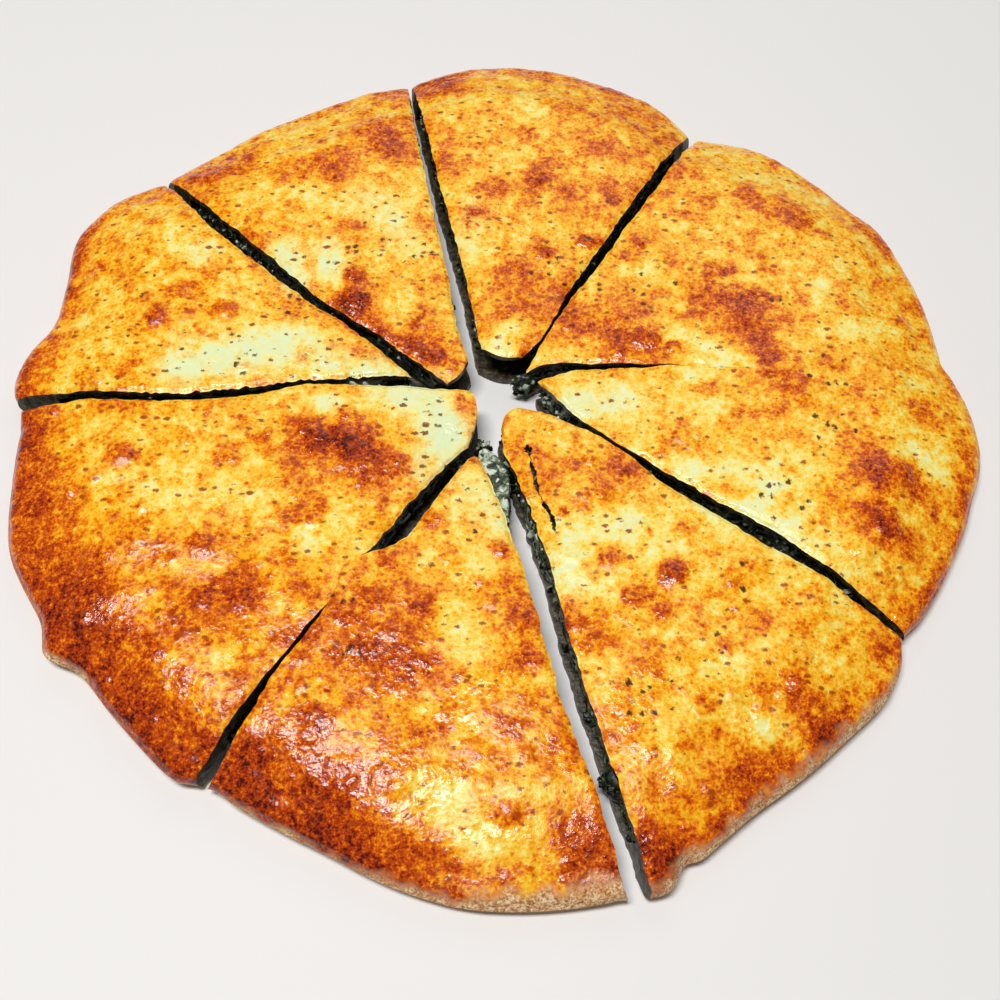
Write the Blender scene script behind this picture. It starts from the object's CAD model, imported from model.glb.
"""The looks of a round filled flat bread, baked whole and cut into eight slices.

Sizes are in millimetres. Plan positions are measured from the middle of the bread, +X to the
right and +Y to the back, and bearings in degrees from +X, counter-clockwise from above.
"""

import bpy
import numpy as np
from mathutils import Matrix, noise


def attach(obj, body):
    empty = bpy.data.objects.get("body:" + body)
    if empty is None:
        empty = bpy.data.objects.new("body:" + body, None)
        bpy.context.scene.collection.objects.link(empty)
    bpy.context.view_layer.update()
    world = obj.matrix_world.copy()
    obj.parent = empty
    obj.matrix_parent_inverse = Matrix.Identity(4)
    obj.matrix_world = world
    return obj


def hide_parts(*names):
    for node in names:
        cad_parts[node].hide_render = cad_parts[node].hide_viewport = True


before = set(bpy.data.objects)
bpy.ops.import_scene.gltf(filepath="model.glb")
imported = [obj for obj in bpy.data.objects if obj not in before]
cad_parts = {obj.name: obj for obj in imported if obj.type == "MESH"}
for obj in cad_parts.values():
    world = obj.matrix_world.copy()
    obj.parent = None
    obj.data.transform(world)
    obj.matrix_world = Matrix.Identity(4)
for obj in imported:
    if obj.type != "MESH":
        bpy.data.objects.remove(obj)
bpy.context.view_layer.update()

# Table, light and camera. A plain pale table, a broad soft light above the bread and to its left,
# a weaker one behind it, and a camera that looks down on it from the front.
MM = 0.001
BREAD_CENTRE = (-0.9, 0.0)

bpy.ops.object.select_all(action="DESELECT")
bpy.ops.mesh.primitive_plane_add(size=4.0, location=(0, 0, -0.0002))
table = bpy.context.object
table.name = "table"
bpy.ops.object.transform_apply(location=True)
pale = bpy.data.materials.new("pale table")
pale.use_nodes = True
paint = pale.node_tree.nodes["Principled BSDF"]
paint.inputs["Base Color"].default_value = (0.80, 0.78, 0.76, 1)
paint.inputs["Roughness"].default_value = 0.6
table.data.materials.append(pale)

for name, place, turn, width, depth, power in (
    ("overhead light", (-0.30, -0.15, 1.58), (0.09, -0.18, 0), 0.80, 0.28, 23.8),
    ("back light", (0.2, 0.75, 0.7), (-0.82, 0, 0), 0.9, 0.5, 1.2),
):
    bpy.ops.object.light_add(type="AREA", location=place, rotation=turn)
    lamp = bpy.context.object
    lamp.name = name
    lamp.data.shape = "RECTANGLE"
    lamp.data.size = width
    lamp.data.size_y = depth
    lamp.data.energy = power
room = bpy.data.worlds.new("room")
bpy.context.scene.world = room
room.use_nodes = True
room.node_tree.nodes["Background"].inputs["Color"].default_value = (1.0, 1.0, 1.0, 1)
room.node_tree.nodes["Background"].inputs["Strength"].default_value = 0.13
bpy.context.scene.view_settings.view_transform = "Standard"

bpy.ops.object.camera_add(location=(-0.0034, -0.2107, 0.2970), rotation=np.radians((31.07, -1.278, 0.438)))
camera = bpy.context.object
camera.data.lens = 43.2
camera.data.sensor_width = 36.0
camera.data.clip_start = 0.01
bpy.context.scene.camera = camera

# The crusts. Wheat dough round the filling, baked whole with an egg wash, then cut: each slice is
# closed at the rim and open at the knife cuts. The top is browned, blistered and glossy.
BODY_HEIGHT = 13.6
RING_HEIGHT = 1.4
RING_RADIUS = 88.0
RING_WIDTH = 34.0
RIM_HEIGHT = 8.2
NOSE_TOP = 5.2
NOSE_BOTTOM = 2.4
NOSE_BULGE = 0.9
RIM_ROUND = 6.5
RIM_SLOPE_START = 4.0
RIM_SLOPE_END = 28.0
UNDERCUT = 9.0
WALL_LEAN = 1.0
CORNER_ROUND = 1.6
CORNER_REACH = 4.5
TOP_DOUGH = 2.4
BOTTOM_DOUGH = 2.0
SEAL_WIDTH = 12.5
LEAST_CUT = 0.3
SEAM = 0.04
# The rim's plump ring, behind its edge, and the height above which the top's relief is flattened.
RIM_PLUMP = 1.1
PLUMP_AT = 11.0
PLUMP_WIDTH = 6.0
TALL = 15.0
TALL_SLOPE = 0.55
# The mesh: its faces' size at a typical rim, how many layers a wall has, how the rows crowd to the rim.
STEP = 0.6
LAYERS = 9
MOST_COLUMNS = 200
ARC_RADIUS = 140
SLICE_LENGTH = 125
ROW_CROWDING = 1.15

# Each knife cut: the stroke's bearing, then how far out, and how far to the left of the stroke
# the slice on its left ends and the slice on its right begins.
CUTS = (
    (102.0, ((12, 5.6, 0.6), (26, 6.4, 0.5), (43, 5.3, 0.0), (84, 5.2, 1.2), (108, 4.8, 1.0),
             (140, 2.7, 1.0))),
    (59.0, ((13, -1.6, -6.0), (19, -3.4, -4.4), (30, -3.3, -4.1), (41, -1.3, -3.3), (55, -0.9, -4.1),
            (71, -0.7, -3.7), (87, -0.2, -4.1), (105, 0.3, -3.5), (135, 1.2, -2.0))),
    (6.0, ((10, 3.3, -0.3), (15, 6.9, 1.0), (26, 6.2, 3.8), (41, 4.3, 2.5), (53, 2.5, 2.1), (73, -1.2, -1.6),
           (94, 0.0, -0.4), (108, 0.9, 0.5), (124, -0.4, -0.8), (138, 0.6, -0.4))),
    (-37.0, ((12, 9.3, -0.8), (21, 6.9, 2.3), (33, 5.4, 4.2), (44, 5.8, 4.5), (61, 5.9, 2.1), (74, 6.3, 2.7),
             (90, 8.1, 2.9), (104, 7.6, 4.2), (122, 7.5, 4.5), (136, 7.2, 5.6))),
    (-74.0, ((15, -1.3, -11.6), (23, -3.2, -10.5), (40, -1.2, -8.6), (65, -1.0, -8.3), (81, -2.4, -8.9),
             (100, -2.7, -9.6), (126, -2.2, -7.8), (148, -1.5, -7.6))),
    (-122.5, ((22, 8.6, 5.9), (40, 8.2, 3.4), (56, 9.1, 3.0), (65, 5.0, 3.7), (72, 0.4, -1.2), (81, 4.0, 3.4),
              (94, 4.3, 3.0), (104, 3.6, 2.7), (114, 5.1, 2.5), (138, 6.7, 2.7))),
    (184.0, ((8, 1.8, -5.5), (24, -0.5, -4.6), (41, -1.8, -4.3), (52, -2.6, -4.0), (61, -0.7, -2.5),
             (73, 1.5, -2.0), (87, 2.6, -0.1), (104, 1.6, -1.1), (120, -1.1, -3.9), (138, -1.3, -5.8))),
    (140.0, ((20, 13.1, 8.3), (39, 12.4, 8.7), (50, 12.4, 10.1), (64, 13.8, 10.6), (83, 13.5, 9.0),
             (110, 12.3, 7.6), (136, 6.2, 3.9))),
)
CUT_SMOOTHING = (-3.0, -1.5, 0.0, 1.5, 3.0)
# Where the top skin has stayed joined over a cut: the cut's number from 0, the middle, half its length.
JOINED = ((2, 101.0, 48.0), (5, 75.5, 13.0))

# The rim: how far out it lies at even steps between two bearings, one row for each slice.
RIM = (
    (101.0, 60.0, (140.6, 146.2, 147.0, 146.4, 143.8, 140.6, 133.4)),
    (59.0, 7.3, (131.5, 139.8, 142.2, 143.0, 144.0, 141.6, 138.5)),
    (6.7, -34.0, (139.0, 143.3, 144.3, 141.8, 138.6, 136.6, 134.6)),
    (-35.0, -75.0, (135.8, 139.2, 138.1, 138.6, 139.2, 143.4, 151.8)),
    (-78.0, -120.0, (147.5, 147.2, 146.5, 143.3, 139.2, 137.6, 136.8)),
    (-121.0, -176.0, (140.6, 138.4, 137.4, 139.7, 142.1, 138.8, 136.8)),
    (-177.0, -218.0, (141.6, 142.0, 136.2, 140.2, 148.0, 146.9, 139.6)),
    (-220.0, -257.0, (138.0, 136.6, 137.4, 137.4, 137.8, 139.4, 139.4)),
)
RIM_SMOOTHING = (-2.0, -1.0, 0.0, 1.0, 2.0)
# Small lobes and dents of the rim: bearing, half width in degrees, how far out.
RIM_LOBES = ((-144.0, 2.6, 4.2), (-70.6, 1.3, -2.4), (29.0, 3.0, 1.5), (-13.0, 3.0, -0.8))

# Bulges of the top: plan position, radius and height.
SWELLS = (
    (93.0, 71.0, 12.0, 2.1), (69.0, 73.0, 6.0, 1.0), (64.0, 42.0, 8.0, 1.3), (77.0, 30.0, 10.0, 1.0),
    (87.0, 3.0, 11.0, 1.4), (44.0, 21.0, 9.0, 1.0), (116.0, 57.0, 8.0, 0.9), (122.0, 24.0, 8.0, 0.9),
    (110.0, -34.0, 13.0, 2.3), (109.0, -51.0, 9.0, 1.5), (65.0, -6.0, 9.0, 0.7), (88.0, -27.0, 9.0, 0.7),
    (47.0, -62.0, 6.0, 1.1), (32.0, -59.0, 7.0, 0.9), (66.0, -60.0, 5.0, 0.8), (79.0, -96.0, 13.0, 1.5),
    (51.0, -117.0, 13.0, 1.7), (42.0, -92.0, 12.0, 0.7), (24.0, -32.0, 8.0, 0.8),
    (-25.0, -122.0, 15.0, 1.5), (-50.0, -108.0, 14.0, 1.6), (-30.0, -72.0, 13.0, 1.1),
    (4.0, -95.0, 13.0, 0.8), (6.0, -122.0, 11.0, 0.9), (-39.0, -21.0, 12.0, 1.3),
    (-103.0, -28.0, 6.0, 1.0), (-80.0, -92.0, 15.0, 1.8), (-106.0, -66.0, 13.0, 1.3),
    (-78.0, -55.0, 10.0, 1.0), (-75.0, -38.0, 9.0, 0.8), (-58.0, -70.0, 9.0, 0.8),
    (-101.0, 22.0, 5.0, 0.9), (-92.0, 24.0, 5.0, 0.9), (-81.0, 26.0, 5.0, 0.9), (-105.0, 50.0, 13.0, 1.0),
    (-60.0, 12.0, 9.0, 0.7), (-43.0, 38.0, 5.0, 0.9), (-42.0, 29.0, 5.0, 0.9), (-92.0, 84.0, 10.0, 1.1),
    (-51.0, 89.0, 8.0, 0.9), (-41.0, 103.0, 10.0, 1.2), (-66.0, 62.0, 10.0, 0.7),
    (15.0, 84.0, 8.0, 0.9), (2.0, 122.0, 14.0, 1.2), (34.0, 106.0, 12.0, 1.0), (10.0, 44.0, 9.0, 0.7),
)

# The slices, clockwise from the back. Each lies between the cut of its own number and the next.
# tip: how far out its tip starts on either cut. bulge: how far the tip's end is rounded inwards.
# sunk: how far the filling stands back at the tip, or out of it where less than 0.
# ooze: where the filling swells out of a cut: side, how far out, reach along the cut, how far.
SLICES = (
    {"tip": (14.0, 14.0), "bulge": 1.8, "sunk": 7.0, "ooze": ()},
    {"tip": (12.0, 10.5), "bulge": 0.4, "sunk": -3.5, "ooze": ()},
    {"tip": (13.5, 11.5), "bulge": 0.3, "sunk": 1.5, "ooze": ()},
    {"tip": (11.5, 15.0), "bulge": 2.0, "sunk": 2.0, "ooze": ((1, 121.0, 4.0, 3.2), (1, 52.0, 14.0, 1.6))},
    {"tip": (23.0, 24.0), "bulge": 0.3, "sunk": -6.5, "ooze": ((0, 30.0, 17.0, 4.6), (0, 27.0, 9.0, 3.4))},
    {"tip": (22.0, 6.0), "bulge": 2.2, "sunk": 2.5, "ooze": ()},
    {"tip": (24.0, 21.0), "bulge": 0.3, "sunk": 2.0, "ooze": ((0, 48.0, 12.0, 0.7), (0, 38.0, 4.0, 1.0))},
    {"tip": (10.5, 10.0), "bulge": 1.2, "sunk": 6.0, "ooze": ()},
)


def bearing_of(x, y):
    return np.degrees(np.arctan2(y, x))


def rim_radius(bearing):
    """How far out the rim's outer edge lies."""
    knots = []
    for first, last, radii in RIM:
        knots += list(zip(np.linspace(first, last, len(radii)), radii))
    at, radius = np.array(knots).T
    smooth = [np.interp(bearing + step, at[::-1], radius[::-1], period=360) for step in RIM_SMOOTHING]
    out = np.mean(smooth, axis=0)
    for middle, width, height in RIM_LOBES:
        turn = (bearing - middle + 180) % 360 - 180
        out = out + height * np.exp(-((turn / width) ** 2))
    return out


def base_height(x, y):
    """The top of the bread without its blisters: a rounded rim that rises to a flat body."""
    inward = rim_radius(bearing_of(x, y)) - np.hypot(x, y)
    shoulder = np.clip(inward / RIM_ROUND, 0, 1)
    rim = NOSE_TOP + (RIM_HEIGHT - NOSE_TOP) * np.sqrt(1 - (1 - shoulder) ** 2)
    slope = np.clip((inward - RIM_SLOPE_START) / (RIM_SLOPE_END - RIM_SLOPE_START), 0, 1)
    rise = (BODY_HEIGHT - RIM_HEIGHT) * slope * slope * (3 - 2 * slope)
    ring = RING_HEIGHT * np.exp(-(((np.hypot(x, y) - RING_RADIUS) / RING_WIDTH) ** 2))
    return rim + rise + ring * slope


def bottom_height(x, y):
    """The underside: flat, and lifted a little along the rim."""
    inward = rim_radius(bearing_of(x, y)) - np.hypot(x, y)
    return NOSE_BOTTOM * np.clip(1 - inward / UNDERCUT, 0, 1) ** 2


def cut_aside(cut, side, out):
    """How far to the left of a knife stroke a slice's edge lies: side 1 is the slice on its left."""
    outs, left_slice, right_slice = np.array(CUTS[cut % len(CUTS)][1], float).T
    edge = left_slice if side else right_slice
    return np.mean([np.interp(out + step, outs, edge) for step in CUT_SMOOTHING], axis=0)


def cut_edge(cut, side, out, spread):
    """Plan position of a slice's edge, moved out into the cut by spread."""
    aside = cut_aside(cut, side, out) + (-spread if side else spread)
    along = np.radians(CUTS[cut % len(CUTS)][0])
    return np.array([out * np.cos(along) - aside * np.sin(along),
                     out * np.sin(along) + aside * np.cos(along)])


def plan_position(number, u, v, spread, tip_shift=0.0, inset=0.0):
    """Plan position at u across slice number, from its left cut, and v out from its tip to its rim.

    spread(side, out) says how far the edge on that side stands out into its cut.
    """
    edges = [lambda out, side=side: cut_edge(number + side, side, out, spread(side, out)) for side in (0, 1)]
    starts = [start + tip_shift for start in SLICES[number]["tip"]]
    ends = []
    for edge in edges:
        out = RING_RADIUS
        for _ in range(30):
            out += rim_radius(bearing_of(*edge(out))) - inset - CORNER_ROUND - np.hypot(*edge(out))
        ends.append(out)
    left, right = [edge(start + (end - start) * v) for edge, start, end in zip(edges, starts, ends)]
    tip_left, tip_right = [edge(start)[:, None] for edge, start in zip(edges, starts)]
    rim_left, rim_right = [edge(end)[:, None] for edge, end in zip(edges, ends)]

    tip = tip_left * (1 - u) + tip_right * u
    outwards = rim_left + rim_right
    tip = tip - SLICES[number]["bulge"] * np.sin(np.pi * u) * outwards / np.hypot(*outwards)

    first, last = np.unwrap([bearing_of(*rim_left)[0], bearing_of(*rim_right)[0]], period=360)
    bearing = first * (1 - u) + last * u
    from_corner = np.minimum(u, 1 - u) * np.radians(abs(last - first)) * rim_radius(bearing)
    radius = rim_radius(bearing) - inset - CORNER_ROUND * np.exp(-((from_corner / CORNER_REACH) ** 2))
    rim = radius * np.array([np.cos(np.radians(bearing)), np.sin(np.radians(bearing))])

    straight = (tip_left * (1 - u) + tip_right * u) * (1 - v) + (rim_left * (1 - u) + rim_right * u) * v
    return left * (1 - u) + right * u + tip * (1 - v) + rim * v - straight


def fresh_block(name, columns, rows, layers):
    """A unit block: a grid, raised layer by layer."""
    bpy.ops.object.select_all(action="DESELECT")
    bpy.ops.mesh.primitive_grid_add(x_subdivisions=columns, y_subdivisions=rows, size=1)
    block = bpy.context.object
    block.name = name
    block.data.name = name
    bpy.ops.object.mode_set(mode="EDIT")
    bpy.ops.mesh.select_all(action="SELECT")
    bpy.ops.transform.translate(value=(0.5, 0.5, 0))
    for _ in range(layers):
        bpy.ops.mesh.extrude_region_move(TRANSFORM_OT_translate={"value": (0, 0, 1 / layers)})
    bpy.ops.mesh.select_all(action="SELECT")
    bpy.ops.mesh.normals_make_consistent(inside=False)
    bpy.ops.object.mode_set(mode="OBJECT")
    return block


def places_of(piece):
    flat = np.empty(len(piece.data.vertices) * 3)
    piece.data.vertices.foreach_get("co", flat)
    return flat.reshape(-1, 3)


def points_of(piece):
    """A piece's vertices in millimetres from the middle of the bread, as three rows."""
    return (places_of(piece) / MM - (*BREAD_CENTRE, 0)).T


def put_points(piece, x, y, z):
    places = (np.stack([x, y, z], axis=1) + (*BREAD_CENTRE, 0)) * MM
    piece.data.vertices.foreach_set("co", places.ravel())
    piece.data.update()


def fractions_of(block):
    """How far across, out and up each vertex of a unit block lies, as three rows from 0 to 1."""
    return np.clip(places_of(block).T, 0, 1)


def uneven(x, y, size, layer):
    """Smooth unevenness with lumps of the given size, a different one for each layer."""
    return np.array([noise.noise((a, b, layer)) for a, b in zip((x / size).tolist(), (y / size).tolist())])


def uneven_sum(x, y, rows):
    """The sum of several such layers: the height, the size of the lumps and the layer of each."""
    return sum(height * uneven(x, y, size, layer) for height, size, layer in rows)


# Where the crust is browner, or paler where less than 0: a stroke from one plan position to another,
# its half width, and how much. One row for each slice.
BROWNING = (
    ((42, 130, 50, 114, 8, 0.09), (13, 118, 14, 117, 5, -0.14), (-16, 108, -5, 103, 6, -0.06),
     (10, 103, 10, 104, 5, 0.16), (34, 98, 37, 98, 4, 0.17), (22, 116, 24, 118, 3, 0.12),
     (12, 80, 14, 85, 5, 0.22), (20, 92, 25, 90, 4, 0.11), (2, 77, -2, 78, 4, 0.21),
     (-8, 76, -7, 76, 3, 0.14), (-9, 67, -3, 67, 3, 0.23), (3, 68, 5, 68, 3, 0.09),
     (24, 76, 25, 75, 4, 0.16), (37, 77, 39, 72, 2.5, 0.19), (15, 53, 16, 50, 3.5, 0.23),
     (29, 56, 33, 57, 3.5, 0.2), (5, 45, 6, 44, 4, 0.11), (8, 42, 22, 28, 9, 0.11),
     (-10, 52, -6, 70, 6, -0.1), (5, 20, 2, 15, 5, -0.26), (12, 11, 10, 12, 2.5, 0.35),
     (-18, 90, -15, 86, 5, 0.16), (0, 142, 45, 134, 5, 0.08)),
    ((85, 75, 97, 70, 8, 0.23), (96, 66, 97, 65, 4, 0.14), (68, 74, 69, 74, 4, 0.17),
     (62, 68, 66, 67, 3, 0.11), (46, 56, 51, 58, 4.5, 0.16), (69, 45, 72, 45, 4, 0.28),
     (85, 45, 86, 45, 2.5, 0.16), (66, 38, 62, 28, 5, 0.17), (72, 33, 82, 33, 5, 0.27),
     (75, 28, 78, 20, 6, 0.26), (88, 25, 89, 25, 3.5, 0.2), (105, 27, 107, 27, 4, 0.08),
     (82, 12, 86, 2, 8, 0.26), (25, 22, 52, 10, 6, 0.15), (44, 18, 45, 18, 4.5, 0.16),
     (54, 15, 55, 14, 3.5, 0.12), (42, 45, 44, 45, 4, -0.16), (55, 20, 75, 8, 4, -0.2),
     (62, 8, 68, 4, 4, -0.24), (100, 22, 116, 22, 6, -0.1), (100, 38, 118, 50, 4, -0.1),
     (107, 42, 110, 42, 4, 0.09), (114, 59, 119, 55, 4, 0.1), (126, 30, 128, 22, 5, 0.09),
     (120, 70, 127, 60, 3, 0.14), (75, 104, 76, 104, 3, 0.08)),
    ((22, -8, 40, -4, 7, -0.26), (65, -7, 66, -7, 4, -0.24), (76, -32, 78, -34, 6, -0.22),
     (72, -43, 80, -48, 5, -0.2), (60, 5, 62, 5, 4, -0.2), (63, -2, 64, -2, 4, 0.19),
     (52, -18, 53, -17, 4, 0.16), (58, -22, 59, -22, 3, 0.12), (73, -10, 82, -10, 4, 0.09),
     (86, 1, 88, -3, 8, 0.26), (108, -27, 119, -33, 8, 0.3), (106, -46, 111, -50, 7, 0.32),
     (103, -38, 104, -36, 9, 0.14), (96, -4, 124, -2, 4, 0.07), (126, -8, 128, -9, 4, 0.17),
     (137, -18, 136, -44, 4, 0.16), (120, -66, 127, -56, 4, 0.16), (119, -21, 122, -23, 5, -0.15),
     (98, -60, 100, -62, 5, -0.1)),
    ((5, -18, 11, -44, 4, 0.08), (18, -31, 37, -28, 8, 0.18), (24, -40, 33, -38, 4, 0.12),
     (20, -44, 20, -43, 1.6, 0.23), (22, -50, 40, -47, 6, -0.24), (19, -60, 21, -64, 6, -0.22),
     (29, -68, 31, -68, 6, -0.12), (44, -57, 50, -55, 4, -0.14), (47, -63, 50, -61, 3.5, 0.33),
     (39, -69, 42, -69, 5, 0.22), (45, -74, 48, -72, 3, 0.2), (33, -58, 34, -58, 3.5, 0.19),
     (42, -49, 43, -49, 3, 0.09), (52, -49, 52, -48, 3, 0.12), (65, -63, 67, -63, 5, 0.09),
     (18, -75, 24, -80, 6, 0.18), (70, -78, 80, -75, 4, 0.09), (60, -83, 61, -83, 2.5, 0.2),
     (35, -85, 42, -88, 5, 0.14), (77, -93, 83, -100, 7, 0.21), (85, -105, 91, -100, 5, 0.22),
     (65, -115, 72, -112, 6, 0.18), (37, -133, 44, -135, 5, 0.33), (69, -104, 72, -104, 5, -0.18)),
    ((-2, -27, -3, -25, 4, 0.14), (-5, -35, 0, -50, 9, -0.12), (-8, -60, -6, -62, 7, -0.08),
     (-17, -47, -17, -46, 3.5, 0.2), (3, -56, 4, -56, 3.5, 0.17), (-26, -57, -22, -56, 4, 0.16),
     (-28, -63, -15, -68, 6, 0.12), (-31, -71, -29, -71, 4, 0.16), (-18, -74, -17, -72, 3.5, 0.23),
     (4, -69, 10, -75, 7, 0.18), (-42, -67, -46, -80, 4, 0.16), (-25, -87, -10, -92, 5, 0.08),
     (-46, -104, -42, -105, 4, 0.23), (-57, -112, -56, -113, 5, 0.27), (22, -130, 31, -140, 6, 0.23),
     (-9, -125, -6, -126, 6, -0.22), (-2, -134, 0, -134, 4, -0.16), (-6, -85, -4, -85, 6, -0.14),
     (-11, -76, -9, -76, 5, -0.14), (5, -128, 6, -128, 4, 0.19), (15, -118, 20, -113, 5, 0.11),
     (-7, -118, -7, -117, 3, 0.12), (29, -122, 31, -116, 5, 0.12), (8, -88, 9, -88, 3.5, 0.16)),
    ((-20, -4, -12, -18, 7, -0.3), (-12, -18, -18, -30, 6, -0.26), (-32, -3, -28, -4, 5, -0.28),
     (-48, -8, -46, -9, 4, -0.32), (-9, -6, -7, -18, 2.5, 0.19), (-48, -20, -36, -25, 7, 0.3),
     (-42, -14, -41, -26, 4, 0.17), (-31, -30, -25, -33, 4, 0.12), (-55, -17, -55, -16, 3.5, 0.2),
     (-38, -35, -36, -35, 5, 0.11), (-50, -38, -48, -45, 5, 0.14), (-56, -47, -55, -47, 4, 0.2),
     (-48, -55, -50, -51, 4, -0.3), (-75, -27, -74, -27, 4, 0.16), (-84, -24, -82, -24, 4, 0.08),
     (-103, -28, -101, -28, 4, 0.25), (-82, -41, -68, -40, 4, -0.1), (-88, -58, -75, -58, 4, 0.12),
     (-74, -72, -68, -72, 7, 0.23), (-66, -66, -60, -72, 5, 0.17), (-55, -62, -48, -69, 5, 0.16),
     (-57, -75, -56, -76, 5, -0.14), (-52, -82, -49, -84, 4, 0.11), (-106, -68, -104, -72, 6, 0.18),
     (-121, -12, -80, -11, 4, 0.06), (-94, -50, -95, -53, 4, 0.08)),
    ((-90, 4, -64, 11, 8, -0.3), (-92, 48, -91, 47, 5, -0.2), (-55, 15, -50, 6, 7, -0.2),
     (-38, 4, -28, 2, 6, -0.24), (-101, 22, -100, 22, 4.5, 0.28), (-93, 23, -92, 23, 3, 0.17),
     (-82, 25, -80, 25, 4.5, 0.28), (-97, 31, -93, 33, 4, 0.16), (-78, 32, -77, 32, 3, 0.12),
     (-106, 5, -108, 2, 3.5, 0.2), (-85, 3, -84, 3, 3, 0.16), (-56, 9, -56, 7, 2.5, 0.19),
     (-130, 62, -137, 42, 4, 0.23), (-124, 52, -120, 40, 5, 0.08), (-141, 6, -132, 10, 4, 0.09),
     (-141, -4, -138, -6, 4, 0.16), (-112, 40, -108, 36, 4, 0.08), (-62, 28, -60, 26, 4, 0.06)),
    ((-97, 84, -85, 87, 6, 0.23), (-85, 95, -74, 96, 5, 0.11), (-68, 84, -58, 87, 6, 0.18),
     (-50, 83, -48, 88, 6, 0.19), (-41, 103, -34, 95, 7, 0.25), (-46, 112, -40, 108, 6, 0.12),
     (-30, 92, -29, 91, 4, 0.16), (-79, 56, -73, 51, 3.5, 0.23), (-66, 49, -61, 38, 6, -0.26),
     (-50, 42, -52, 50, 6, -0.24), (-57, 46, -56, 36, 2.5, 0.17), (-45, 40, -42, 38, 3, 0.27),
     (-45, 30, -42, 29, 4.5, 0.37), (-46, 25, -16, 9, 3.5, 0.27), (-26, 16, -18, 10, 5, 0.19),
     (-22, 22, -21, 22, 4, 0.19), (-33, 24, -32, 24, 2.5, 0.12), (-48, 61, -42, 60, 2.5, 0.16),
     (-33, 78, -32, 78, 3, 0.12), (-23, 62, -22, 62, 3.5, 0.2), (-58, 74, -34, 68, 8, -0.1),
     (-34, 62, -26, 50, 6, -0.12), (-28, 33, -27, 32, 4, -0.2)),
)
# Broad zones that are browner or paler, strokes as above.
BROAD_ZONES = (
    (-60, -72, -40, -84, 14, 0.13), (-30, -84, -20, -106, 14, 0.16), (0, -104, 26, -108, 14, 0.10),
    (-10, -84, 24, -80, 12, 0.06), (24, -134, 30, -124, 8, 0.14), (60, -48, 84, -52, 12, -0.10),
    (52, -26, 84, -30, 10, -0.10), (128, -28, 132, -20, 8, -0.1), (-132, -30, -130, -20, 10, 0.1),
    (-50, -28, -24, -30, 12, 0.10), (0, 30, 26, 24, 12, 0.13), (40, 26, 54, 34, 12, 0.11),
    (-80, 28, -72, 26, 8, -0.10), (-54, 28, -48, 24, 7, 0.12), (-106, 80, -98, 74, 8, 0.12),
    (-54, 80, -48, 74, 8, 0.07), (22, 80, 54, 84, 14, 0.09), (98, 84, 106, 74, 8, -0.1),
    (-30, 106, -22, 100, 10, 0.13), (-34, 130, -20, 132, 10, 0.22), (26, 108, 54, 104, 14, 0.09),
    (-110, -72, -84, -76, 10, 0.08), (46, -132, 58, -126, 6, -0.16), (-80, -56, -50, -52, 10, 0.05),
    (-58, -22, -22, -26, 13, 0.05), (-56, 30, -22, 24, 11, 0.07), (72, 20, 84, 32, 10, 0.06),
    (-60, 56, -46, 50, 9, 0.04), (-34, -76, -18, -84, 10, 0.05), (-84, -30, -56, -58, 16, -0.05),
    (68, -44, 86, -56, 8, -0.07), (92, -50, 112, -56, 7, -0.06), (20, -50, 34, -60, 8, -0.06),
)
# How much browner the rim is: bearing, how far in, and how much.
RIM_BROWNING = (
    (-177, 10, 0.34), (-172, 13, 0.32), (-160, 17, 0.36), (-150, 21, 0.44), (-135, 21, 0.50),
    (-124, 18, 0.48), (-119, 17, 0.54), (-108, 19, 0.60), (-102, 16, 0.54), (-96, 12, 0.38), (-90, 9, 0.18),
    (-80, 9, 0.22), (-75, 12, 0.46), (-68, 14, 0.40), (-61, 12, 0.30), (-52, 8, 0.14), (-40, 7, 0.16),
    (-36, 8, 0.22), (-31, 9, 0.18), (-22, 9, 0.15), (-10, 7, 0.12), (0, 6, 0.09), (10, 6, 0.08),
    (25, 8, 0.16), (32, 7, 0.14), (45, 6, 0.06), (62, 6, 0.10), (80, 7, 0.10), (92, 12, 0.16),
    (99, 16, 0.24), (104, 7, 0.08), (120, 6, 0.10), (138, 6, 0.14), (145, 7, 0.18), (155, 7, 0.14),
    (160, 8, 0.26), (170, 8, 0.18), (178, 8, 0.24),
)
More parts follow.
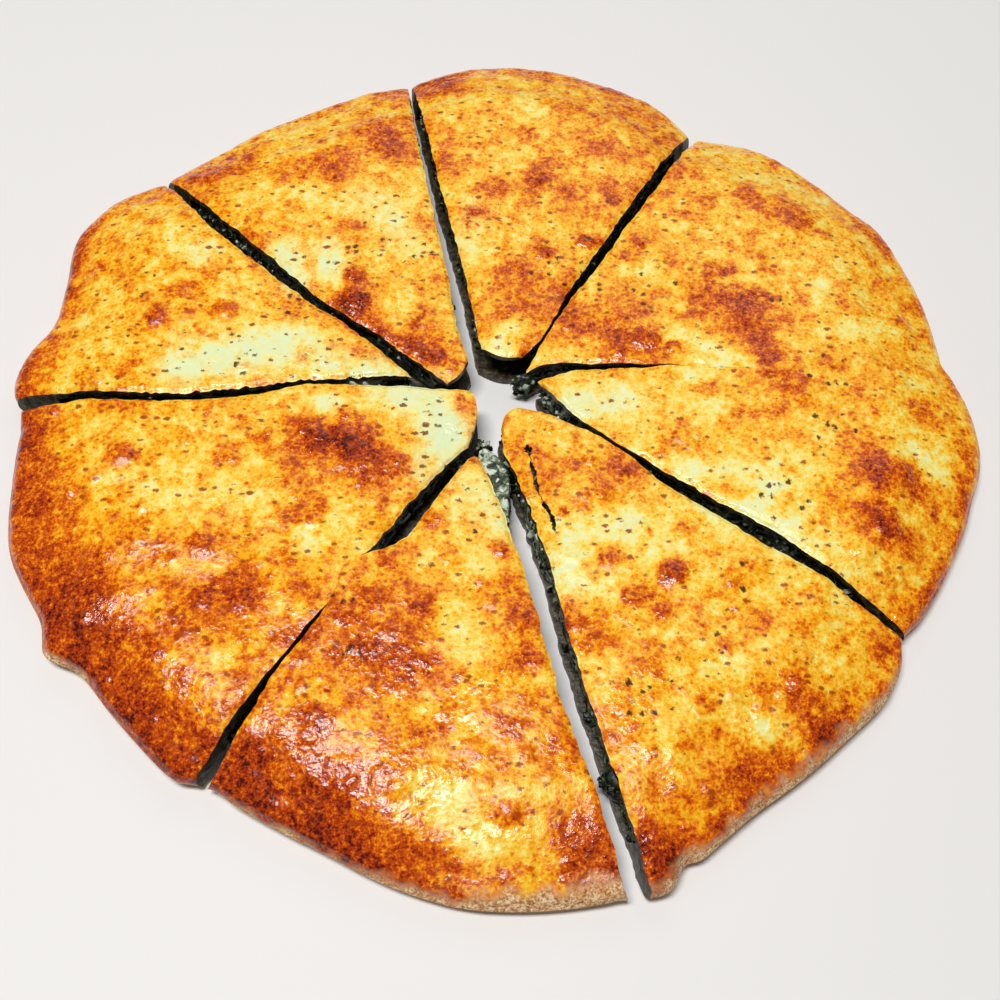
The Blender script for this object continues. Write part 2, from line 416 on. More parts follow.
# Blisters placed by hand: plan position, radius, height and browning.
BUBBLES = (
    (69, 73, 3.6, 0.8, 0.19), (62, 67, 2.6, 0.5, 0.14), (45, 56, 4, 0.5, 0.14), (68, 44, 4, 0.9, 0.17),
    (83, 44, 2.2, 0.4, 0.14), (46, 18, 5, 0.8, 0.14), (38, 13, 3, 0.5, 0.11), (54, 14, 2.5, 0.5, 0.11),
    (58, 10, 3, 0.4, 0.07), (95, 63, 6, 0.8, 0.08), (86, 72, 4, 0.5, 0.08), (78, 26, 5, 0.6, 0.07),
    (84, 8, 6, 0.8, 0.07), (105, 45, 3, 0.4, 0.11), (113, -29, 6.5, 0.9, 0.11), (109, -45, 5, 0.8, 0.11),
    (103, -52, 4, 0.6, 0.06), (54, -18, 3, 0.7, 0.17), (57, -21, 2.5, 0.5, 0.14), (73, -14, 2.6, 0.5, 0.11),
    (124, -6, 3, 0.5, 0.14), (112, -9, 2.5, 0.4, 0.11), (63, -2, 3, 0.5, 0.11), (44, -5, 2, 0.3, 0.07),
    (96, -38, 3, 0.4, 0.08), (19, -44, 2.1, 0.5, 0.22), (25, -43, 2.2, 0.5, 0.17),
    (32, -59, 3.6, 0.8, 0.17), (48.5, -63, 4.6, 1.1, 0.17), (45.5, -73.5, 2.6, 0.6, 0.14),
    (38, -69, 4.2, 0.7, 0.14), (65, -63, 3, 0.4, 0.08), (42, -49, 2.2, 0.4, 0.11),
    (52, -49, 2.2, 0.4, 0.11), (62, -84, 2.2, 0.5, 0.19), (57, -86, 2, 0.4, 0.14),
    (22, -77, 3.4, 0.5, 0.14), (27, -82, 2.4, 0.4, 0.11), (75, -96, 3, 0.4, 0.06), (83, -103, 5, 0.6, 0.08),
    (-16, -47, 2.6, 0.6, 0.19), (2, -55, 3, 0.6, 0.17), (-41, -104, 4.6, 1.0, 0.19),
    (5, -127, 3.6, 0.7, 0.19), (-17, -75, 3.6, 0.6, 0.19), (-34.5, -85.5, 2.1, 0.4, 0.27),
    (-46, -95, 2.1, 0.4, 0.19), (-39, -77.5, 2, 0.4, 0.17), (-26, -60, 3, 0.5, 0.11),
    (0, -71, 3.2, 0.5, 0.14), (12, -76, 3, 0.4, 0.11), (-8, -92, 2.6, 0.4, 0.11),
    (-53, -17, 3.3, 0.8, 0.17), (-48, -48, 2.6, 0.6, 0.14), (-55, -37, 3, 0.5, 0.11),
    (-72, -28, 2.6, 0.5, 0.14), (-76, -23, 2.6, 0.5, 0.14), (-103, -28, 4.2, 1.3, 0.17),
    (-109, -34, 3.2, 0.8, 0.14), (-77, -57, 4.5, 0.8, 0.19), (-75, -72, 4, 0.8, 0.14),
    (-65, -72, 3.2, 0.6, 0.14), (-42, -20, 4, 0.6, 0.06), (-120, -33, 3, 0.4, 0.06),
    (-86, -22, 2.6, 0.5, 0.11), (-95, -45, 2.6, 0.4, 0.11), (-57, -62, 2.4, 0.4, 0.14),
    (-101, 22, 4.2, 1.1, 0.19), (-93, 22, 3, 0.7, 0.14), (-81, 24, 4.6, 1.1, 0.19), (-96, 31, 3, 0.6, 0.14),
    (-58, 14, 2.2, 0.5, 0.17), (-54, 10, 2.2, 0.5, 0.17), (-64, 22, 2.2, 0.4, 0.14),
    (-43, 40, 4, 0.9, 0.14), (-42, 31, 4.2, 1.0, 0.11), (-22, 22, 2.6, 0.5, 0.14),
    (-59, 91, 3.2, 0.7, 0.14), (-52, 82, 4, 0.7, 0.14), (-71, 92, 3.2, 0.5, 0.11), (-93, 83, 4, 0.6, 0.11),
    (-37, 97, 6, 0.9, 0.08), (10, 104, 4, 0.7, 0.14), (34, 99, 3.6, 0.7, 0.14), (24, 121, 2.6, 0.5, 0.11),
    (13, 82, 4, 0.7, 0.14), (2, 79, 3, 0.6, 0.14), (-6, 68, 3, 0.5, 0.11), (15, 51, 3.2, 0.7, 0.17),
    (29, 56, 3.2, 0.6, 0.14), (20, 94, 3, 0.4, 0.11), (10, 76, 2.4, 0.4, 0.11), (24, 77, 3, 0.4, 0.11),
)
# Low folds of the top: strokes as above, the amount is the height in millimetres.
FOLDS = (
    (-94, -54, -71, -58, 3.6, 0.9), (-93, -64, -76, -66, 3.0, -0.4), (-88, -36, -60, -45, 4.5, 0.7),
    (-122, -30, -110, -37, 4.0, 0.6), (-60, -60, -46, -77, 3.5, 0.5), (-104, -74, -62, -106, 7.0, 1.0),
    (-62, -98, -20, -132, 7.0, 0.7), (-34, -62, -12, -50, 5.0, 0.4), (-24, -84, 6, -78, 5.0, 0.4),
    (42, -54, 51, -60, 3.5, 0.6), (58, -64, 70, -58, 4.0, 0.4), (44, -112, 54, -120, 6.0, 0.5),
    (30, -84, 60, -96, 5.0, 0.4), (72, -78, 84, -96, 6.0, 0.5), (20, -54, 36, -48, 5.0, 0.3),
    (100, -54, 108, -60, 4.0, 0.5), (82, -10, 100, -30, 6.0, 0.4), (60, -30, 84, -44, 5.0, 0.4),
    (96, 22, 116, 46, 7.0, 0.4), (60, 44, 78, 70, 6.0, 0.5), (30, 30, 58, 20, 5.0, 0.4),
    (-12, 60, 4, 58, 5.0, 0.3), (14, 100, 38, 92, 5.0, 0.4), (-10, 110, 20, 124, 7.0, 0.4),
    (-60, 70, -36, 58, 5.0, 0.5), (-84, 90, -50, 94, 6.0, 0.4), (-96, 16, -60, 4, 7.0, 0.3),
    (-120, 20, -90, 48, 7.0, 0.4), (-40, -48, -58, -30, 5.0, 0.4), (-30, -12, -24, -30, 5.0, 0.3),
)
# Where greens show through the top dough: strokes as above.
GREEN_TINTS = (
    (-20, -4, -12, -18, 8, 0.8), (-12, -18, -18, -30, 6, 0.8), (-34, -4, -28, -4, 5, 0.5),
    (-48, -8, -46, -9, 4, 0.4), (-90, 4, -64, 11, 8, 0.9), (-92, 48, -91, 47, 5, 0.4),
    (-52, 8, -28, 3, 6, 0.5), (-66, 49, -61, 38, 6, 0.8), (-50, 42, -52, 50, 5, 0.7),
    (22, -8, 36, -4, 6, 0.4), (-6, -36, 2, -48, 7, 0.3), (-10, 52, -6, 68, 6, 0.3),
    (18, -56, 22, -66, 5, 0.3), (22, -142, 30, -140, 4, 0.7), (-12, -146, -6, -146, 4, 0.6),
    (-40, 72, -28, 56, 8, 0.3),
)
# Groups of small burnt specks: plan position, radius, how thickly they lie.
SPECKLED = (
    (99, -15, 7, 0.7), (92, -24, 9, 0.35), (82, -38, 8, 0.3), (42, -96, 9, 0.6), (46, -89, 4, 0.8),
    (70, -64, 9, 0.4), (-22, -102, 3, 0.9), (-35, -87, 3, 0.7), (-39, -71, 4, 0.6), (-107, 16, 3, 0.9),
    (-105, 33, 6, 0.4), (-60, 28, 9, 0.4), (-30, 48, 16, 0.35), (24, 42, 16, 0.3), (45, 38, 14, 0.25),
    (-3, -44, 9, 0.3), (88, 33, 4, 0.6), (100, 6, 9, 0.3), (60, -82, 8, 0.3), (-75, 14, 14, 0.2),
    (16, -58, 6, 0.4), (36, 74, 5, 0.6),
)


def stroke_cover(x, y, strokes):
    """The sum of soft-edged strokes at each place."""
    cover = np.zeros_like(x)
    for from_x, from_y, to_x, to_y, width, amount in strokes:
        along_x, along_y = to_x - from_x, to_y - from_y
        length = along_x**2 + along_y**2
        part = np.clip(((x - from_x) * along_x + (y - from_y) * along_y) / length, 0, 1)
        away = np.hypot(x - from_x - part * along_x, y - from_y - part * along_y)
        cover += amount * np.exp(-((away / width) ** 2 * 1.2) ** 1.2)
    return cover


# Small blisters, strewn over the whole top: plan position, radius, height and browning.
BLISTER_COUNT = 1500
BLISTER_SPREAD = 146
LEAST_BLISTER = 1.0
strewn = np.random.default_rng(11)
blister_radius = LEAST_BLISTER + 2.4 * strewn.random(BLISTER_COUNT) ** 2.2
blister_out = BLISTER_SPREAD * np.sqrt(strewn.random(BLISTER_COUNT))
blister_bearing = 2 * np.pi * strewn.random(BLISTER_COUNT)
BLISTERS = np.stack([
    blister_out * np.cos(blister_bearing), blister_out * np.sin(blister_bearing), blister_radius,
    (0.06 + 0.16 * strewn.random(BLISTER_COUNT)) * blister_radius, 0.22 * strewn.random(BLISTER_COUNT),
], axis=1)
BLISTERS = np.concatenate([BLISTERS, BUBBLES])
# The top's natural unevenness: height, size of the lumps and layer.
TOP_UNEVEN = ((0.5, 21.0, 1.0), (0.36, 8.0, 2.0), (0.2, 2.8, 3.0))


def top_relief(x, y):
    """How high the top stands, and how much its blisters are browned."""
    height = base_height(x, y)
    for middle_x, middle_y, radius, rise in SWELLS:
        height = height + rise * np.exp(-(((x - middle_x) ** 2 + (y - middle_y) ** 2) / radius**2))

    brown = np.zeros_like(x)
    margin = BLISTERS[:, 2].max()
    near = np.ones(len(BLISTERS), bool)
    for places, middles in ((x, BLISTERS[:, 0]), (y, BLISTERS[:, 1])):
        near &= (middles > places.min() - margin) & (middles < places.max() + margin)
    order = np.argsort(x)
    sorted_x = x[order]
    for middle_x, middle_y, radius, rise, tan in BLISTERS[near]:
        first, last = np.searchsorted(sorted_x, (middle_x - radius, middle_x + radius))
        spots = order[first:last]
        away = ((x[spots] - middle_x) ** 2 + (y[spots] - middle_y) ** 2) / radius**2
        height[spots] += rise * np.clip(1 - away, 0, 1) ** 1.1
        brown[spots] += 0.6 * tan * np.clip(1.7 - 1.7 * away, 0, 1) * (0.6 + 0.9 * away)
    brown *= np.clip(1 + 1.6 * uneven(x, y, 2.0, 14.0), 0.2, 2)

    inward = rim_radius(bearing_of(x, y)) - np.hypot(x, y)
    height += RIM_PLUMP * np.exp(-(((inward - PLUMP_AT) / PLUMP_WIDTH) ** 2)) * np.clip(inward / 3, 0, 1)
    height += stroke_cover(x, y, FOLDS) + uneven_sum(x, y, TOP_UNEVEN)
    return np.minimum(height, TALL + TALL_SLOPE * (height - TALL)), brown


class Value:
    """A shader socket that carries a number, written with the usual signs."""

    def __init__(self, tree, socket):
        self.tree = tree
        self.socket = socket

    def node(self, kind, inputs, output=0, **settings):
        """Any other node: its type, its settings, and the values or links of its sockets."""
        made = self.tree.nodes.new(kind)
        stops = settings.pop("stops", None)
        for name, value in settings.items():
            setattr(made, name, value)
        if stops:
            bar = made.color_ramp
            while len(bar.elements) < len(stops):
                bar.elements.new(0.5)
            for element, (place, colour) in zip(bar.elements, stops):
                element.position = place
                element.color = (*colour, 1)
        for name, value in inputs.items():
            if isinstance(value, Value):
                value.feed(made, name)
            else:
                made.inputs[name].default_value = value
        return Value(self.tree, made.outputs[output])

    def feed(self, node, name):
        self.tree.links.new(self.socket, node.inputs[name])

    def maths(self, operation, first, second):
        return self.node("ShaderNodeMath", {0: first, 1: second}, operation=operation)

    def __add__(self, other):
        return self.maths("ADD", self, other)

    __radd__ = __add__

    def __sub__(self, other):
        return self.maths("SUBTRACT", self, other)

    def __rsub__(self, other):
        return self.maths("SUBTRACT", other, self)

    def __mul__(self, other):
        return self.maths("MULTIPLY", self, other)

    __rmul__ = __mul__

    def clear_of(self, low, high):
        """0 up to low, 1 from high on, and smooth between."""
        return self.node("ShaderNodeMapRange", {"Value": self, "From Min": low, "From Max": high},
                         interpolation_type="SMOOTHSTEP")


def screen_colour(red, green, blue):
    """A colour read off a screen, as the light it stands for."""
    return tuple(((part / 255 + 0.055) / 1.055) ** 2.4 if part > 10 else part / 255 / 12.92
                 for part in (red, green, blue))


def new_finish(name):
    """A new material, with its tree's root value, its surface and its position in millimetres."""
    finish = bpy.data.materials.new(name)
    finish.use_nodes = True
    tree = finish.node_tree
    root = Value(tree, None)
    place = root.node("ShaderNodeTexCoord", {}, output="Object")
    place = root.node("ShaderNodeVectorMath", {0: place, "Scale": 1 / MM}, operation="SCALE")
    return finish, root, tree.nodes["Principled BSDF"], place


def stored(root, name):
    """A number that is stored on the mesh."""
    return root.node("ShaderNodeAttribute", {}, output="Fac", attribute_name=name)


def clouds(place, scale, detail=2.0, roughness=0.6):
    """Soft noise about 0.5, with this many lumps in a millimetre."""
    return place.node("ShaderNodeTexNoise", {"Vector": place, "Scale": scale, "Detail": detail,
                                             "Roughness": roughness})


def cell_distance(place, scale):
    """How far the middle of the nearest of many scattered cells is."""
    return place.node("ShaderNodeTexVoronoi", {"Vector": place, "Scale": scale}, output="Distance")


def cell_number(place, scale):
    """A number from 0 to 1 for each of the same cells."""
    own = place.node("ShaderNodeTexVoronoi", {"Vector": place, "Scale": scale}, output="Color")
    return place.node("ShaderNodeSeparateColor", {0: own})


def blend(share, first, second):
    """The first colour where share is 0, the second where it is 1."""
    colours = {socket: (*colour, 1) if isinstance(colour, tuple) else colour
               for socket, colour in ((6, first), (7, second))}
    return share.node("ShaderNodeMix", {0: share, **colours}, output=2, data_type="RGBA")


def ramp(share, stops):
    """A colour that follows a number: pairs of the number and the colour as a screen shows it."""
    stops = tuple((place, screen_colour(*colour)) for place, colour in stops)
    return share.node("ShaderNodeValToRGB", {"Fac": share}, stops=stops)


# Egg-washed skin: its browning, grain, freckles, burnt specks, greens that show through, and flour.
baked, root, surface, place = new_finish("baked crust")
bake, tint, flour, speckle, calm = [
    stored(root, name) for name in ("bake", "tint", "flour", "speckle", "calm")]
coarse = clouds(place, 0.26)
fine = clouds(place, 0.7)
finer = clouds(place, 1.7, roughness=0.65)
bubbles = cell_distance(place, 0.8)
grainy = 0.70 + bake.clear_of(0.40, 0.85) * 0.70
toned = (bake + (coarse - 0.5) * 0.40 + ((fine - 0.5) * 0.56 + (finer - 0.5) * 0.58) * grainy
         + (0.42 - bubbles) * (0.10 + coarse * 0.26))
colour = ramp(toned, (
    (0.0, (238, 238, 176)), (0.16, (247, 230, 124)), (0.30, (252, 202, 58)), (0.42, (249, 168, 16)),
    (0.55, (228, 114, 4)), (0.68, (192, 72, 3)), (0.80, (160, 50, 6)), (0.91, (116, 30, 6)),
    (1.0, (70, 16, 5))))
colour = blend(tint * (0.85 - toned * 1.2), colour, screen_colour(224, 236, 186))

warped = root.node("ShaderNodeVectorMath", {0: place, 1: (1.0, 1.5, 1.0)}, operation="MULTIPLY")
kind = cell_number(warped, 0.30)
freckled = cell_distance(warped, 0.30) + (fine - 0.5) * 0.7 + (finer - 0.5) * 0.6 + kind * 0.5
freckled = freckled.clear_of(0.42, 0.20)
fleck = blend(tint, screen_colour(164, 68, 6), screen_colour(112, 104, 48))
colour = blend(freckled * (kind.clear_of(0.82, 0.42) + tint * 0.6) * 0.95, colour, fleck)

pick = cell_number(place, 0.38)
burnt = cell_distance(place, 0.38) + (finer - 0.5) * 0.75 + (fine - 0.5) * 0.6 + pick * 0.25
burnt = burnt.clear_of(0.42, 0.26) * (speckle - pick).clear_of(0.0, 0.08)
colour = blend(burnt * 0.95, colour, screen_colour(72, 26, 8))
mealy = ramp(fine * 0.5 + finer * 0.8 - 0.15, (
    (0.32, (136, 74, 26)), (0.48, (206, 152, 92)), (0.64, (244, 218, 180))))
blend(flour, colour, mealy).feed(surface, "Base Color")

patchy = clouds(place, 0.07, roughness=0.5)
matt = 0.14 + flour * 0.42 + patchy.clear_of(0.56, 0.44) * 0.2 * bake.clear_of(0.72, 0.42)
matt.feed(surface, "Roughness")
surface.inputs["Specular IOR Level"].default_value = 0.46
wrinkled = (fine * 0.7 + finer * 0.34 - bubbles * 0.5) * (1.0 - calm * 0.85)
bumps = root.node("ShaderNodeBump", {"Height": wrinkled, "Strength": 0.58, "Distance": 0.38 * MM})
bumps.feed(surface, "Normal")

# The moist dough inside, dark with the filling's juice below a thin browned skin.
crumb, root, surface, place = new_finish("inner dough")
grain = clouds(place, 0.5, 4.0, 0.65)
dough = ramp(grain, ((0.34, (20, 15, 8)), (0.50, (50, 38, 20)), (0.64, (92, 84, 54))))
skin = (stored(root, "depth") + grain * 0.6).clear_of(1.2, 0.5)
blend(skin, dough, screen_colour(196, 112, 26)).feed(surface, "Base Color")
surface.inputs["Roughness"].default_value = 0.4
bumps = root.node("ShaderNodeBump", {"Height": grain, "Strength": 0.8, "Distance": 0.6 * MM})
bumps.feed(surface, "Normal")


def cut_out(piece, tool):
    """Cuts a tool's shape out of a piece, and removes the tool."""
    cut = piece.modifiers.new("cut", "BOOLEAN")
    cut.operation = "DIFFERENCE"
    cut.solver = "MANIFOLD"
    cut.object = tool
    bpy.ops.object.select_all(action="DESELECT")
    bpy.context.view_layer.objects.active = piece
    bpy.ops.object.modifier_apply(modifier=cut.name)
    bpy.data.objects.remove(tool)


def mark(piece, name, values):
    """Stores a number on each vertex."""
    layer = piece.data.attributes.new(name, "FLOAT", "POINT")
    layer.data.foreach_set("value", np.asarray(values, np.float32))


def dress_in_dough(piece, inner):
    """Gives a piece both finishes: the inner dough on the faces that inner picks, crust on the rest."""
    piece.data.materials.append(baked)
    piece.data.materials.append(crumb)
    picked = np.ones(len(piece.data.polygons)) * inner
    piece.data.polygons.foreach_set("material_index", picked.astype(np.int32))


# A tear in the top of slice 4, beside its tip: plan position and half width along it.
TORN_SLICE = 3
TEAR = ((10.0, -21.4, 0.3), (10.3, -22.6, 1.0), (10.4, -23.9, 1.1), (10.8, -25.4, 0.15), (11.2, -27.3, 0.15),
        (11.6, -29.2, 0.6), (11.9, -31.0, 0.7), (12.2, -33.0, 0.5), (12.7, -35.0, 0.6), (13.2, -37.2, 0.15),
        (14.2, -40.0, 0.15), (15.2, -42.0, 0.7), (16.0, -43.6, 0.4), (16.7, -45.6, 0.7), (17.2, -47.6, 0.6),
        (17.6, -49.6, 0.2))
TEAR_FLOOR = 9.0
TEAR_DEPTH = 9.0
# Flour on the rim: how high it reaches, and how much higher along some strokes.
FLOUR_HEIGHT = 4.6
FLOURED = (
    (-62, -126, -20, -144, 8, 1.9), (4, -148, 30, -142, 8, 5.0), (46, -140, 106, -93, 8, 4.2),
    (-136, -60, -80, -122, 5, 0.8), (-120, -84, -108, -94, 5, 3.2), (-24, -144, 0, -148, 6, 2.4),
    (-142, -8, -140, -20, 6, -1.0), (140, -20, 130, -60, 6, 0.8),
)
# How raggedly the cut edges are torn: everywhere, and more along some stretches, each with its cut
# from 0, its side, its middle, half its length and how much.
FRAYED = 0.1
TORN = ((6, 0, 62.0, 36.0, 0.35), (4, 1, 40.0, 16.0, 0.15), (5, 0, 40.0, 22.0, 0.12))
FRAY_AT = np.arange(0.0, 156.0, 1.3)
FRAY = np.random.default_rng(23).normal(size=(len(CUTS), 2, len(FRAY_AT)))
# How smooth the rim's tight skin is: bearing and amount.
CALM = ((-180, 0.5), (-172, 0.6), (-100, 0.7), (-92, 0.2), (-80, 0.1), (-70, 0.4), (-60, 0.3), (170, 0.4))
CALM_DEPTH = 13.0
# The browning of plain skin, its unevenness (as for the top), and from where on it darkens more slowly.
PLAIN_BAKE = 0.37
BAKE_UNEVEN = ((0.12, 16.0, 6.0), (0.16, 6.5, 7.0), (0.14, 2.8, 8.0))
DARK_BAKE = 0.66
DARK_SLOPE = 0.65
# The knife bends the top's edge down: depth, reach and steepness.
EDGE_BEND = ((0.6, 0.9, 2), (0.3, 4.0, 1))
CUT_ROUGHNESS = 0.22
CREASE_ANGLE = 50


def cut_width(cut, out):
    return cut_aside(cut, 1, out) - cut_aside(cut, 0, out)


def closing(cut, out):
    """How far the top on either side reaches into a cut where the skin has stayed joined."""
    far = np.zeros_like(out)
    for joined, middle, half in JOINED:
        if joined == cut % len(CUTS):
            far = 0.5 * (cut_width(cut, out) - SEAM) * np.clip((half - np.abs(out - middle)) / 5, 0, 1)
    return far


def open_width(cut, out):
    return cut_width(cut, out) - 2 * closing(cut, out)


def wobble(cut, side, out):
    """The knife's small wobbles, the same on both sides of a cut, and the torn bits of each edge."""
    cut = cut % len(CUTS)
    shared = 0.14 * np.sin(out * 0.41 + 2.1 * cut) + 0.07 * np.sin(out * 1.13 + 5.3 * cut)
    torn = np.full_like(out, FRAYED)
    for torn_cut, torn_side, middle, half, more in TORN:
        if (torn_cut, torn_side) == (cut, side):
            torn = torn + more * np.exp(-(((out - middle) / half) ** 4))
    torn = torn * np.clip(open_width(cut, out) - 0.4, 0, 1)
    return shared * (1 - 2 * side) + torn * np.interp(out, FRAY_AT, FRAY[cut, side])


for number in range(len(SLICES)):
    sweep = abs(np.diff(np.unwrap(RIM[number][:2], period=360))[0])
    columns = min(int(np.radians(sweep) * ARC_RADIUS / STEP), MOST_COLUMNS)
    crust = fresh_block(f"crust_{number + 1}", columns, int(SLICE_LENGTH / STEP), LAYERS)
    u, v, w = fractions_of(crust)
    corners = np.empty(len(crust.data.loops), int)
    crust.data.loops.foreach_get("vertex_index", corners)
    corners = corners.reshape(-1, 4)
    at_cut = (u < 1e-6) | (u > 1 - 1e-6) | (v < 1e-6)
    dress_in_dough(crust, (u[corners].max(axis=1) < 1e-6) | (u[corners].min(axis=1) > 1 - 1e-6)
                   | (v[corners].max(axis=1) < 1e-6))
    v = 1 - (1 - v) ** ROW_CROWDING

    def top_spread(side, out, number=number):
        return wobble(number + side, side, out) + closing(number + side, out)

    def foot_spread(side, out, number=number):
        lean = np.clip((open_width(number + side, out) - 2 * LEAST_CUT) / 2, 0, WALL_LEAN)
        return wobble(number + side, side, out) + lean

    top = plan_position(number, u, v, top_spread)
    foot = plan_position(number, u, v, foot_spread)
    x, y = foot * (1 - w) + top * w
    left, right = [plan_position(number, np.full_like(v, end), v, top_spread) for end in (0.0, 1.0)]
    across = np.hypot(*(right - left))
    out = np.hypot(*top)
    relief = top_relief(x, y)[0]
    for side, from_cut in ((0, u * across), (1, (1 - u) * across)):
        bent = np.clip((open_width(number + side, out) - 2 * LEAST_CUT) / 1.5, 0.1, 1)
        for deep, far, steep in EDGE_BEND:
            relief -= bent * deep * np.exp(-((from_cut / far) ** steep))
    relief -= 0.6 * np.exp(-((v * 120 / 0.9) ** 2))
    z = bottom_height(x, y) * (1 - w) + relief * w
    belly = NOSE_BULGE * np.sin(np.pi * w) * (v > 0.9999) / np.hypot(x, y)
    rough = CUT_ROUGHNESS * at_cut * np.sin(np.pi * np.clip(w * 0.96 + 0.02, 0, 1))
    x = x * (1 + belly) + rough * uneven(x + z, y, 2.4, 4.0)
    y = y * (1 + belly) + rough * uneven(x, y + z, 2.4, 5.0)
    put_points(crust, x, y, z)

    # the hollow that the filling lies in, open at the cuts and the tip
    hollow = fresh_block("hollow", 60, 80, 1)
    dress_in_dough(hollow, 1)
    u, v, w = fractions_of(hollow)
    x, y = plan_position(number, u, v, lambda side, out: 3.0, -6.0, SEAL_WIDTH)
    put_points(hollow, x, y, BOTTOM_DOUGH * (1 - w) + (base_height(x, y) - TOP_DOUGH) * w)
    cut_out(crust, hollow)

    if number == TORN_SLICE:
        tear = fresh_block("tear", 4, 150, 1)
        dress_in_dough(tear, 1)
        u, v, w = fractions_of(tear)
        knots = np.array(TEAR).T
        at = np.linspace(0, 1, knots.shape[1])
        half = np.interp(v, at, knots[2]) * (1 + 0.9 * uneven(v * 30, (u > 0.5) * 9.0, 0.8, 20.0))
        ragged = 0.45 * uneven(v * 30, (u > 0.5) * 0.6, 1.1, 21.0)
        x = np.interp(v, at, knots[0]) - (2 * u - 1) * half + ragged
        y = np.interp(v, at, knots[1]) - 0.25 * (2 * u - 1) * half
        put_points(tear, x, y, TEAR_FLOOR + TEAR_DEPTH * w)
        cut_out(crust, tear)

    x, y, z = points_of(crust)
    relief, brown = top_relief(x, y)
    bearing = bearing_of(x, y)
    inward = np.clip(rim_radius(bearing) - np.hypot(x, y), 0, None)
    at, reach, amount = np.array(RIM_BROWNING).T
    rim_reach, rim_amount = [np.interp(bearing, at, values, period=360) for values in (reach, amount)]
    browned = PLAIN_BAKE + stroke_cover(x, y, BROWNING[number]) + stroke_cover(x, y, BROAD_ZONES) + brown
    browned += uneven_sum(x, y, BAKE_UNEVEN) + rim_amount * np.exp(-((inward / rim_reach) ** 1.6))
    browned = np.where(browned > DARK_BAKE, DARK_BAKE + DARK_SLOPE * (browned - DARK_BAKE), browned)
    mark(crust, "bake", np.clip(browned, 0.02, 0.94))
    tinted = 0.85 + 0.9 * uneven(x, y, 5.0, 12.0) + 0.6 * uneven(x, y, 2.2, 13.0)
    mark(crust, "tint", np.clip(stroke_cover(x, y, GREEN_TINTS) * tinted, 0, 1))
    floured = FLOUR_HEIGHT + stroke_cover(x, y, FLOURED) + 2.4 * uneven(x, y, 4.0, 9.0)
    mark(crust, "flour", np.clip((floured - z) / 3.0, 0, 1))
    dots = np.full_like(x, 0.02)
    for middle_x, middle_y, radius, thick in SPECKLED:
        dots = np.maximum(dots, thick * np.exp(-((np.hypot(x - middle_x, y - middle_y) / radius) ** 4)))
    mark(crust, "speckle", dots)
    mark(crust, "depth", relief - z)
    at, amount = np.array(CALM).T
    smoothed = np.interp(bearing, at, amount, period=360) * np.exp(-((inward / CALM_DEPTH) ** 4))
    mark(crust, "calm", smoothed)
    crust.data.shade_smooth()
    crust.data.set_sharp_from_angle(angle=np.radians(CREASE_ANGLE))
    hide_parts(f"slice_{number + 1}_crust")
    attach(crust, "root")

# The fillings. Chopped dark greens with crumbled cheese, moist and glossy: they stand a little back
# from the knife cuts, sag under the top dough, and swell out of a few cuts. They are lumpy, with
# leaf scraps lying on their open faces.
END_GAP = 2.0
GAP = 0.6
FILLING_GRID = (36, 200, 14)
FILLING_RECESS = 1.0
FILLING_SAG = 2.2
# The lumps of the open faces: how far they shift them, and their size in plan and in height.
LUMPS = ((0.8, 7.0, 7.0), (0.55, 2.6, 2.2), (0.25, 1.1, 1.1))
# Where more cheese shows in the filling: strokes as above.
CHEESY = (
    (-4, -22, 4, -40, 6, 0.3), (4, -40, 12, -62, 4, 0.16), (-41, 1, -35, 1, 3.4, 1.0),
    (24, -80, 34, -112, 5, 0.26), (40, -134, 42, -140, 4, 0.2), (12, -40, 20, -70, 4, 0.14),
    (14, 4, 20, -4, 5, 0.12),
)
# Scraps on each filling's open faces: a few are cheese crumbs, the others leaves. Sizes are length,
# width and thickness.
SCRAPS = 170
CRUMB_SHARE = 0.1
CRUMB_SIZE = (1.1, 0.9, 0.8)
LEAF_SIZE = (2.6, 1.3, 0.28)

greens, root, surface, place = new_finish("cheese and greens")
loose = stored(root, "loose")
mash = clouds(place, 0.55, 5.0, 0.7)
mixed = (mash - 0.5) * 1.7 + cell_number(place, 0.7) * 0.62 + 0.10
tone = mixed * (1.0 - loose) + stored(root, "shade") * loose + (mash - 0.5) * 0.2 + stored(root, "cheesy")
colour = ramp(tone, (
    (0.0, (6, 7, 4)), (0.28, (15, 20, 10)), (0.48, (36, 46, 26)), (0.66, (78, 92, 60)),
    (0.82, (150, 162, 138)), (1.0, (216, 222, 204))))
colour.feed(surface, "Base Color")
(0.16 + mash * 0.3).feed(surface, "Roughness")
bumps = root.node("ShaderNodeBump", {"Height": mash, "Strength": 0.7, "Distance": 0.5 * MM})
bumps.feed(surface, "Normal")

scrap = fresh_block("scrap", 6, 4, 1)
leaf = fractions_of(scrap) - 0.5
leaf_faces = [tuple(face.vertices) for face in scrap.data.polygons]
bpy.data.objects.remove(scrap)
leaf *= np.sqrt(np.clip(1 - 1.3 * (leaf[1] ** 2 + leaf[0] ** 2) * (0.4 + 0.6 * (leaf[2] > 0)), 0.1, 1))

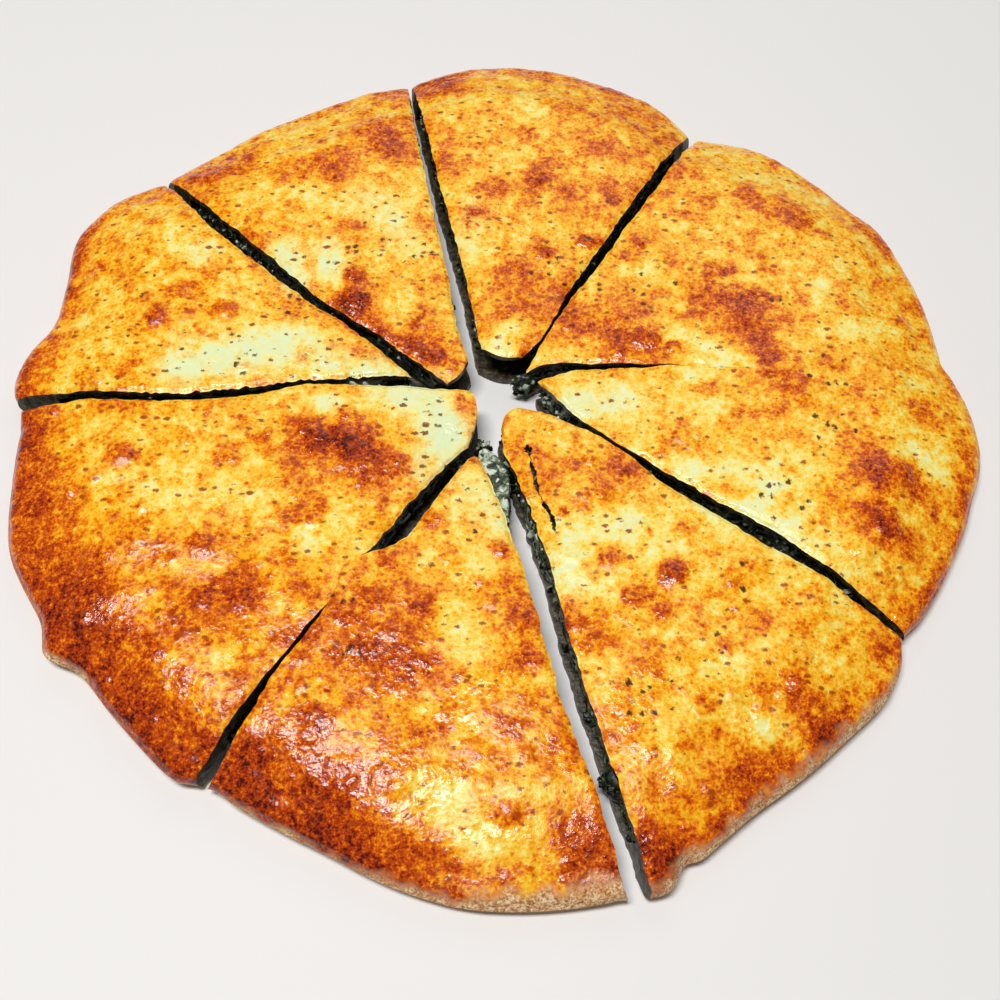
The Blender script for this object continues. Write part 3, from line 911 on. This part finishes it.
for number in range(len(SLICES)):
    filling = fresh_block(f"filling_{number + 1}", *FILLING_GRID)
    u, v, w = fractions_of(filling)
    at_cut = ((u < 1e-6) | (u > 1 - 1e-6) | (v < 1e-6)) * 1.0
    v = 1 - (1 - v) ** ROW_CROWDING

    def reach(side, out, number=number):
        """How far the filling stands out into the cut on one side."""
        far = np.full_like(out, -FILLING_RECESS)
        for ooze_side, middle, length, rise in SLICES[number]["ooze"]:
            if ooze_side == side:
                far = far + rise * np.exp(-(((out - middle) / length) ** 2))
        return far

    x, y = plan_position(number, u, v, reach, SLICES[number]["sunk"], SEAL_WIDTH + END_GAP)
    level = w * BODY_HEIGHT
    large, small, tiny = [
        np.array([noise.noise_vector((a / size, b / size, c / tall))
                  for a, b, c in zip(x.tolist(), y.tolist(), level.tolist())])
        for _, size, tall in LUMPS]
    shift = LUMPS[0][0] * large + LUMPS[1][0] * small + LUMPS[2][0] * tiny
    x = x + shift[:, 0] * at_cut
    y = y + shift[:, 1] * at_cut
    sag = FILLING_SAG * np.clip(0.5 + large[:, 2], 0, 1) * at_cut
    lowest = BOTTOM_DOUGH + GAP
    highest = base_height(x, y) - TOP_DOUGH - GAP - sag
    z = lowest * (1 - w) + highest * w + 0.4 * small[:, 2] * np.sin(np.pi * w)
    put_points(filling, x, y, z)
    filling.data.materials.append(greens)

    # its leaf scraps and cheese crumbs, on the open faces
    chance = np.random.default_rng(40 + number)
    open_spots = np.flatnonzero((at_cut > 0) & (w > 0.08) & (w < 0.97))
    points, faces, shades = [], [], []
    for count, spot in enumerate(chance.choice(open_spots, SCRAPS)):
        is_crumb = chance.random() < CRUMB_SHARE
        size = np.array([CRUMB_SIZE if is_crumb else LEAF_SIZE]).T * (0.6 + 0.9 * chance.random())
        flake = leaf * size
        flake[2] += 0.35 * np.sin(flake[0] * 2.2 + 6 * chance.random()) * (not is_crumb)
        turn = np.linalg.qr(chance.normal(size=(3, 3)))[0]
        flake = (turn if np.linalg.det(turn) > 0 else -turn) @ flake
        points.append(flake.T + (x[spot], y[spot], z[spot]))
        faces += [tuple(corner + len(leaf[0]) * count for corner in face) for face in leaf_faces]
        shade = 0.86 + 0.14 * chance.random() if is_crumb else 0.08 + 0.78 * chance.random() ** 2
        shades += [shade] * len(leaf[0])
    points = (np.concatenate(points) + (*BREAD_CENTRE, 0)) * MM
    scrap_mesh = bpy.data.meshes.new("scraps")
    scrap_mesh.from_pydata(points.tolist(), [], faces)
    scrap_mesh.materials.append(greens)
    scraps = bpy.data.objects.new("scraps", scrap_mesh)
    bpy.context.collection.objects.link(scraps)
    for piece, shade, is_loose in ((filling, np.zeros(len(x)), 0), (scraps, shades, 1)):
        mark(piece, "shade", shade)
        mark(piece, "loose", np.full(len(shade), is_loose))
        mark(piece, "cheesy", stroke_cover(*points_of(piece)[:2], CHEESY))
    bpy.ops.object.select_all(action="DESELECT")
    scraps.select_set(True)
    filling.select_set(True)
    bpy.context.view_layer.objects.active = filling
    bpy.ops.object.join()
    filling.data.shade_smooth()
    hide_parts(f"slice_{number + 1}_filling")
    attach(filling, "root")
